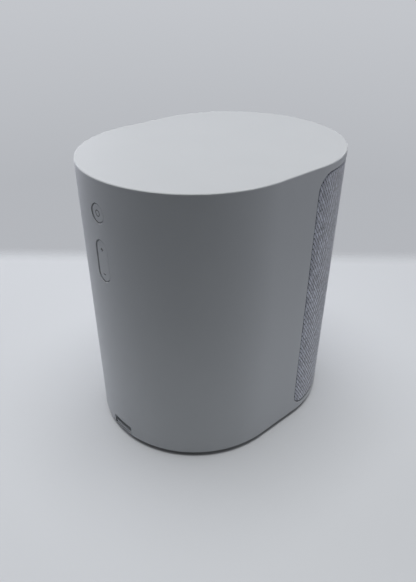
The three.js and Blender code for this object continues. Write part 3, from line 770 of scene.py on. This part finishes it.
def make_camera():
    back = direction_to(AZIMUTH, ELEVATION)
    right = Vector((0, 0, 1)).cross(back).normalized()
    up = back.cross(right)
    rolled_right = right * math.cos(ROLL) + up * math.sin(ROLL)
    rolled_up = up * math.cos(ROLL) - right * math.sin(ROLL)
    turn = Matrix((rolled_right, rolled_up, back)).transposed().to_4x4()
    data = bpy.data.cameras.new("camera")
    data.lens = LENS
    data.sensor_width = SENSOR_WIDTH
    data.shift_x, data.shift_y = SHIFT
    data.clip_start = 0.01
    camera = bpy.data.objects.new("camera", data)
    camera.matrix_world = Matrix.Translation(TARGET + back * DISTANCE) @ turn
    bpy.context.scene.collection.objects.link(camera)
    bpy.context.scene.camera = camera


def softbox(name, azimuth, elevation, reach, size, power, color=(1, 1, 1)):
    """A square area light that faces the body from a direction, in degrees, and a distance."""
    back = direction_to(math.radians(azimuth), math.radians(elevation))
    data = bpy.data.lights.new(name, "AREA")
    data.size = size
    data.energy = power
    data.color = color
    light = bpy.data.objects.new(name, data)
    light.location = LIGHT_AIM + back * reach
    light.rotation_euler = back.to_track_quat("Z", "Y").to_euler()
    light.visible_camera = False
    bpy.context.scene.collection.objects.link(light)


def make_studio():
    softbox("overhead", **OVERHEAD)
    for azimuth, power in SIDE_POWERS.items():
        softbox(f"side_{azimuth}", azimuth, power=power, **SIDE)
    make_world()
    make_floor()


def mixed(tree, factor, low, high):
    """A colour from low to high, each a colour or a socket."""
    mix = tree.nodes.new("ShaderNodeMix")
    mix.data_type = "RGBA"
    tree.links.new(factor, mix.inputs["Factor"])
    for socket, color in ((mix.inputs[6], low), (mix.inputs[7], high)):
        if isinstance(color, tuple):
            socket.default_value = color
        else:
            tree.links.new(color, socket)
    return mix.outputs[2]


def over_span(tree, height, span):
    """From 0 to 1 as the direction's height goes over the span."""
    ramp = tree.nodes.new("ShaderNodeMapRange")
    tree.links.new(height, ramp.inputs["Value"])
    ramp.inputs["From Min"].default_value, ramp.inputs["From Max"].default_value = span
    return ramp.outputs[0]


def make_world():
    """A pale backdrop that only the camera sees, and a dim ambient light that is stronger from
    below, where the floor would go on."""
    world = bpy.data.worlds.new("studio")
    world.use_nodes = True
    tree = world.node_tree
    direction = tree.nodes.new("ShaderNodeSeparateXYZ")
    tree.links.new(tree.nodes.new("ShaderNodeTexCoord").outputs["Generated"], direction.inputs[0])
    height = direction.outputs[2]
    ambient = mixed(tree, over_span(tree, height, AMBIENT_RISE), AMBIENT_BELOW, AMBIENT)
    backdrop = mixed(tree, over_span(tree, height, BACKDROP_RISE), BACKDROP_LOW, BACKDROP_HIGH)
    seen = tree.nodes.new("ShaderNodeLightPath").outputs["Is Camera Ray"]
    shown = mixed(tree, seen, ambient, backdrop)
    tree.links.new(shown, tree.nodes["Background"].inputs["Color"])
    bpy.context.scene.world = world


def make_floor():
    """A round floor, just under the foot so that the two don't share a plane."""
    mesh = bpy.data.meshes.new("floor")
    angles = [2 * math.pi * k / FLOOR_SIDES for k in range(FLOOR_SIDES)]
    ring = [(FLOOR_RADIUS * math.cos(a), FLOOR_RADIUS * math.sin(a), 0) for a in angles]
    mesh.from_pydata(ring, [], [list(range(FLOOR_SIDES))])
    mesh.materials.append(pale_floor())
    floor = bpy.data.objects.new("floor", mesh)
    floor.location.z = -0.05 * MM
    bpy.context.scene.collection.objects.link(floor)


# ---------------------------------------------------------------- visible pieces

SIDE_TO_WINDOW = QUARTER + OFFSET - (COVER_HIGH.y + COVER_GAP)
WINDOW = (SIDE_TO_WINDOW, PERIMETER - SIDE_TO_WINDOW, COVER_LOW.z - COVER_GAP,
          COVER_HIGH.z + COVER_GAP, WINDOW_CORNER)
BUTTON = (-BUTTON_RADIUS, BUTTON_RADIUS, BUTTON_Z - BUTTON_RADIUS, BUTTON_Z + BUTTON_RADIUS,
          BUTTON_RADIUS)
ROCKER = (-ROCKER_HALF, ROCKER_HALF, ROCKER_LOW.z, ROCKER_HIGH.z, ROCKER_HALF)
NOTCH = (-NOTCH_HALF, NOTCH_HALF, -NOTCH_TOP, NOTCH_TOP, NOTCH_CORNER)


def foot_edge():
    """The sleeve's lower edge once round, up and over the cord notch."""
    low = SLEEVE_LOW.z
    loop = [(-SEAM, low, 0, 1), (-NOTCH_HALF, low, -1, 1)]
    loop += arc(-NOTCH_HALF + NOTCH_CORNER, NOTCH_TOP - NOTCH_CORNER, NOTCH_CORNER, 2, 1)
    loop += arc(NOTCH_HALF - NOTCH_CORNER, NOTCH_TOP - NOTCH_CORNER, NOTCH_CORNER, 1, 0)
    loop += [(NOTCH_HALF, low, 1, 1), (PERIMETER - SEAM, low, 0, 1)]
    return joined(loop, GRID)[:-1]


def make_sleeve(material):
    """The sleeve as a closed skin: its top, outer and inner faces, and the cuts through it."""
    solid = Solid()
    columns = steps_between(-SEAM, PERIMETER - SEAM, GRID)[:-1]
    tops = []
    for k in range(ROUND_STEPS + 1):
        angle = k / ROUND_STEPS * math.pi / 2
        z = HEIGHT - TOP_ROUND * (1 - math.sin(angle))
        inset = TOP_ROUND * (1 - math.cos(angle))
        tops.append([solid.tilted(s, inset, z, 0, 1, angle) for s in columns])
    for first, second in zip(tops, tops[1:]):
        solid.strip(first, second)
    solid.face(tops[-1])
    ceiling = [solid.tilted(s, WALL, HEIGHT - WALL, 0, -1, math.pi / 2) for s in columns]
    solid.face(ceiling)

    holes = [WINDOW, grown(BUTTON, BUTTON_GAP), grown(ROCKER, BUTTON_GAP)]
    rims = [rim(solid, outline(hole), WALL) for hole in holes]
    foot = rim(solid, foot_edge(), WALL)
    for which, sign, inset, top, grow in ((0, 1, 0, tops[0], EDGE), (1, -1, WALL, ceiling, 0)):
        below = placed(solid, foot[which])
        above = placed(solid, top)
        wrap = [(PERIMETER - SEAM, z, corner) for _, z, corner in (below[0], above[0])]
        edge = below + [wrap[0], wrap[1]] + above[::-1]
        left_out = [grown(shape, grow) for shape in (*holes, NOTCH)]
        hole_edges = [placed(solid, ring[which]) for ring in rims]
        panel(solid, sign, inset, edge, hole_edges, left_out, GRID)
    return solid.build("sleeve", material, "root", "sleeve", "housing_sleeve")


def rounded_edge():
    """The rounded edge of a sunk cap from its face to its side, as entries of pad's profile."""
    found = []
    for k in range(ROUND_STEPS + 1):
        angle = k / ROUND_STEPS * math.pi / 2
        found.append((-EDGE * (1 - math.sin(angle)), CAP_SUNK + EDGE * (1 - math.cos(angle)),
                      math.degrees(angle)))
    return found


def make_play_button(material):
    """A round cap with a grooved ring, a flange that keeps it in, and a stub for its switch."""
    solid = Solid()
    flange = 5.6 * MM - BUTTON_RADIUS
    stub = 1.6 * MM - BUTTON_RADIUS
    shoulder, back, tip = 3.8 * MM, 4.6 * MM, 5.1 * MM
    groove = CAP_SUNK + 0.07 * MM
    groove_floor = 0.6 * RING_HALF
    ring = RING_RADIUS - BUTTON_RADIUS
    profile = [(-0.9 * BUTTON_RADIUS, CAP_SUNK, 0), (ring - RING_HALF, CAP_SUNK, 0),
               (ring - groove_floor, groove, 0), (ring + groove_floor, groove, 0),
               (ring + RING_HALF, CAP_SUNK, 0)]
    profile += rounded_edge()
    profile += [(0, shoulder, 90), (0, shoulder, 0), (flange, shoulder, 0), (flange, shoulder, 90),
                (flange, back, 90), (flange, back, 180), (stub, back, 180), (stub, back, 90),
                (stub, tip, 90), (stub, tip, 180)]
    pad(solid, BUTTON, profile)
    return solid.build("round_button", material, "play_button", "button", "play_button")


def make_volume_rocker(material):
    """An upright pill-shaped cap on an axle, with a stem behind each sign for its switch."""
    solid = Solid()
    back = 2.6 * MM
    middle = -0.85 * ROCKER_HALF
    profile = [(middle, CAP_SUNK, 0), (-2 * EDGE, CAP_SUNK, 0)] + rounded_edge()
    profile += [(0, back, 90), (0, back, 180), (middle, back, 180)]
    pad(solid, ROCKER, profile)
    axle_half, axle_radius = 10 * MM, MM
    stem_tip, stem_radius = ROCKER_LOW.y + 1.3 * MM, 1.4 * MM
    rod(solid, (-axle_half, AXLE_Y, ROCKER_Z), (axle_half, AXLE_Y, ROCKER_Z), axle_radius)
    inside_cap = SLEEVE_HIGH.y - back + 0.5 * MM
    rod(solid, (0, AXLE_Y, ROCKER_Z), (0, inside_cap, ROCKER_Z), axle_radius)
    for side in (-1, 1):
        z = ROCKER_Z + side * STEM_OFFSET
        rod(solid, (0, stem_tip, z), (0, inside_cap, z), stem_radius)
    return solid.build("volume_rocker_cap", material, "volume_rocker", "button", "volume_rocker")


def foot_section():
    """The foot's section, with rounded lower edges, as (inset, z, outward, up)."""
    inner = FOOT_INSET + FOOT_WIDTH
    high = FOOT_HIGH.z
    found = []
    for inset, start in ((FOOT_INSET + FOOT_ROUND, 0), (inner - FOOT_ROUND, 1)):
        for k in range(ROUND_STEPS + 1):
            angle = (start + k / ROUND_STEPS) * math.pi / 2
            found.append((inset - FOOT_ROUND * math.cos(angle), FOOT_ROUND * (1 - math.sin(angle)),
                          math.cos(angle), -math.sin(angle)))
    return found + [(inner, high, -1, 0), (inner, high, 0, 1), (FOOT_INSET, high, 0, 1),
                    (FOOT_INSET, high, 1, 0)]


def foot_ring(solid, s, section):
    """The foot's section at s. Entries at one place share a point, for a sharp edge."""
    outward, _ = wall_directions(s)
    ring = []
    for k, (inset, z, out, up) in enumerate(section):
        normal = outward * out + Vector((0, 0, up))
        if k and section[k - 1][:2] == (inset, z):
            ring.append((ring[-1][0], normal))
        else:
            ring.append(solid.corner(s, inset, z, normal))
    return ring


def make_foot(material):
    """A rubber ring, open at the cord notch."""
    solid = Solid()
    gap = NOTCH_HALF + 0.3 * MM
    end = RADIUS * math.asin(gap / (RADIUS - FOOT_INSET - FOOT_WIDTH))
    columns = steps_between(end, PERIMETER - end, GRID)
    section = foot_section()
    rings = [foot_ring(solid, s, section) for s in columns]
    for first, second in zip(rings, rings[1:]):
        solid.strip(first, second)
    for ring, s, sign in ((rings[0], columns[0], -1), (rings[-1], columns[-1], 1)):
        _, along = wall_directions(s)
        solid.face(solid.facing(ring, along * sign))
    return solid.build("rubber_foot", material, "root", "foot", "foot_ring")


# ---------------------------------------------------------------- woven cover

def thread_height(s, z):
    """Height of the cloth's threads, 0 to 1: upright threads pass over two level ones and
    under the third, and each row starts one thread further on."""
    across, up = s / WARP, z / WEFT
    column, row = np.floor(across), np.floor(up)
    in_column, in_row = across - column - 0.5, up - row - 0.5
    level_over = (column + row) % 3 < 0.5
    upright = np.cos(np.pi * in_column) * (1 - 0.3 * (2 * in_row) ** 2)
    level = np.cos(np.pi * in_row) * (1 - 0.3 * (2 * in_column) ** 2)
    return np.where(level_over, level, upright)


def cloth_rows(solid, flat):
    """The woven face's points in rows from foot to top, each as its first column and its
    corners. A row ends on the outline, where the threads have no height."""
    s0, s1, z0, z1, corner = flat
    s_values = np.linspace(s0, s1, round((s1 - s0) / (WARP / 2)) + 1)
    z_values = np.linspace(z0, z1, round((z1 - z0) / (WEFT / 2)) + 1)
    rows = []
    for z in z_values:
        rise = max(corner - min(z - z0, z1 - z), 0)
        pull = corner - math.sqrt(corner * corner - rise * rise)
        first = int(np.searchsorted(s_values, s0 + pull + TINY)) - 1
        last = int(np.searchsorted(s_values, s1 - pull - TINY))
        places = np.array(s_values[first:last + 1])
        places[0], places[-1] = s0 + pull, s1 - pull
        heights = thread_height(places, np.full_like(places, z))
        heights[0] = heights[-1] = 0
        if z in (z_values[0], z_values[-1]):
            heights[:] = 0
        corners = []
        for s, height in zip(places, heights):
            outward, _ = wall_directions(s)
            corners.append(solid.corner(s, FACE_INSET + THREAD_RISE * (1 - height), z, outward))
        rows.append((first, corners))
    return rows


def at_column(row, column):
    """A row's corner at a column, or its end where it doesn't reach so far."""
    first, corners = row
    return corners[min(max(column - first, 0), len(corners) - 1)]


def woven_face(solid, rows):
    for low, high in zip(rows, rows[1:]):
        start = min(low[0], high[0])
        end = max(first + len(corners) - 1 for first, corners in (low, high))
        for column in range(start, end):
            solid.face([at_column(low, column), at_column(low, column + 1),
                        at_column(high, column + 1), at_column(high, column)])


def cloth_edge(rows):
    """The woven face's outline as one closed ring of corners."""
    left = [corners[0] for _, corners in rows]
    right = [corners[-1] for _, corners in rows]
    foot, top = rows[0][1], rows[-1][1]
    return foot + right[1:] + top[-2::-1] + left[-2:0:-1]


def turned_edge(solid, edge, flat):
    """Turns the cloth's edge inwards. Returns its last ring."""
    start = FACE_INSET + THREAD_RISE
    turns = [(CLOTH_TURN * math.sin(a), start + CLOTH_TURN * (1 - math.cos(a)), a)
             for a in np.linspace(0, math.pi / 2, ROUND_STEPS + 1)[1:]]
    turns.append((CLOTH_TURN, start + HEM, math.pi / 2))
    ring = edge
    for out, inset, angle in turns:
        after = []
        for index, _ in edge:
            s, z = solid.places[index]
            ds, dz = away(flat, s, z)
            after.append(solid.tilted(s + ds * out, inset, z + dz * out, ds, dz, angle))
        solid.strip(ring, after)
        ring = after
    return ring


def make_cover(material):
    """The cloth as a closed skin: a woven face, a turned edge, and a plain back. Its flat size
    counts the strips that are turned in."""
    solid = Solid()
    flat = grown(WINDOW, -COVER_GAP - CLOTH_TURN)
    rows = cloth_rows(solid, flat)
    woven_face(solid, rows)
    back = turned_edge(solid, cloth_edge(rows), flat)
    depth = FACE_INSET + THREAD_RISE + HEM
    panel(solid, -1, depth, placed(solid, back), [], [], 2 * GRID)
    piece = solid.build("woven_cover", material, "root", "cover_fabric", "cover_fabric")
    return piece


# ---------------------------------------------------------------- scene

def paint_nodes(materials):
    """Gives every CAD node that stays the material of its slot in the record."""
    slots = {part["node"]: part["material_slot"] for part in frame["record"]["subparts"]}
    for name, node in frame["nodes"].items():
        slot = slots[name]
        node.data.materials.clear()
        node.data.materials.append(materials[slot])


make_camera()
looks = materials_by_slot()
paint_nodes(looks)
make_sleeve(looks["sleeve"])
make_play_button(looks["button"])
make_volume_rocker(marked_plastic("rocker_plastic", plus_minus_mark))
make_foot(looks["foot"])
make_cover(looks["cover_fabric"])
make_studio()
bpy.context.scene.view_settings.view_transform = "Standard"
